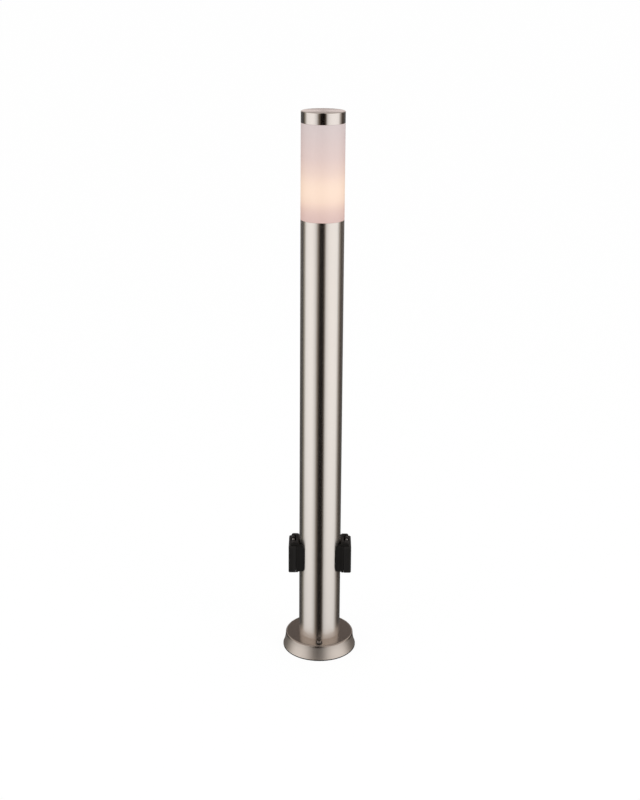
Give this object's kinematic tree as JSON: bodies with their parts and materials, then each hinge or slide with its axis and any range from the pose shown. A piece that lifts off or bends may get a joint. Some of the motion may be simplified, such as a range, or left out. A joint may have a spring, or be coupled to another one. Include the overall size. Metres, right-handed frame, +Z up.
{
  "type": "garden socket post with lit head",
  "caption": "Upright steel tube on a round ground flange, with an opal lit head under a flat cap and flap sockets low on its sides.",
  "frame": {"origin": "middle of the base, on the ground", "axes": "+Z up along the tube; the front with one cover screw looks along -Y; the sockets are on +X and -X"},
  "size_m": [0.135, 0.135, 1],
  "materials": {
    "tube_steel": "satin brushed stainless steel",
    "cover_steel": "pressed stainless steel, polished lip",
    "cap_steel": "satin stainless steel",
    "zinc_steel": "zinc plated",
    "screw_steel": "stainless, domed",
    "spring_steel": "spring wire",
    "rubber_black": "matt",
    "lead_sheath": "soft cable sheath",
    "terminal_plastic": "moulded",
    "brass": "plain",
    "carrier_plastic": "moulded",
    "holder_plastic": "moulded",
    "bulb_cap_metal": "rolled thread",
    "bulb_plastic": "moulded",
    "socket_black": "fine moulded grain",
    "insert_black": "moulded",
    "lid_black": "fine moulded grain",
    "opal_plastic": "opal, lit from inside",
    "bulb_glass": "opal, lit"
  },
  "bodies": {
    "post": {"ground_gasket": "rubber_black", "mounting_plate": "zinc_steel", "flange_cover": "cover_steel", "cover_standoffs": "zinc_steel", "cover_washers": "rubber_black", "cover_screws": "screw_steel", "cable_grommet": "rubber_black", "terminal_bracket": "zinc_steel", "bracket_screws": "screw_steel", "terminal_block": "terminal_plastic", "terminal_sleeves": "brass", "terminal_clamp_screws": "screw_steel", "terminal_fixings": "screw_steel", "post_tube": "tube_steel", "lamp_lead": "lead_sheath", "lamp_carrier": "carrier_plastic", "lampholder_shell": "holder_plastic", "lampholder_sleeve": "brass", "lampholder_contact": "brass", "holder_screws": "screw_steel", "right_socket_lead": "lead_sheath", "right_saddle_gasket": "rubber_black", "right_socket_frame": "socket_black", "right_socket_screws": "screw_steel", "right_socket_insert": "insert_black", "right_socket_contacts": "brass", "right_earth_clip": "brass", "right_rear_cover": "insert_black", "right_hinge_pin": "screw_steel", "right_lid_spring": "spring_steel", "left_socket_lead": "lead_sheath", "left_saddle_gasket": "rubber_black", "left_socket_frame": "socket_black", "left_socket_screws": "screw_steel", "left_socket_insert": "insert_black", "left_socket_contacts": "brass", "left_earth_clip": "brass", "left_rear_cover": "insert_black", "left_hinge_pin": "screw_steel", "left_lid_spring": "spring_steel"},
    "head": {"diffuser": "opal_plastic", "diffuser_seal": "rubber_black", "top_cap": "cap_steel", "cap_insert": "carrier_plastic", "cap_seal": "rubber_black"},
    "bulb": {"bulb_cap": "bulb_cap_metal", "bulb_contact": "brass", "bulb_body": "bulb_plastic", "bulb_globe": "bulb_glass"},
    "right_lid": {"right_lid": "lid_black", "right_lid_seal": "rubber_black"},
    "left_lid": {"left_lid": "lid_black", "left_lid_seal": "rubber_black"}
  },
  "joints": [
    {"name": "right_lid_hinge", "type": "hinge", "parent": "post", "child": "right_lid", "pos_m": [0.0492, 0, 0.2108], "axis": [0, -1, 0], "range_deg": [0, 95], "stiffness_Nm_per_rad": 0.01, "springref_deg": -34.38, "deforming": ["right_lid_spring"]},
    {"name": "left_lid_hinge", "type": "hinge", "parent": "post", "child": "left_lid", "pos_m": [-0.0492, 0, 0.2108], "axis": [0, 1, 0], "range_deg": [0, 95], "stiffness_Nm_per_rad": 0.01, "springref_deg": -34.38, "deforming": ["left_lid_spring"]},
    {"name": "head_lift", "type": "slide", "parent": "post", "child": "head", "axis": [0, 0, 1], "range_m": [0, 0.16]},
    {"name": "bulb_unscrew", "type": "hinge", "parent": "post", "child": "bulb", "pos_m": [0, 0, 0.865], "axis": [0, 0, 1], "range_deg": [0, 360]}
  ]
}
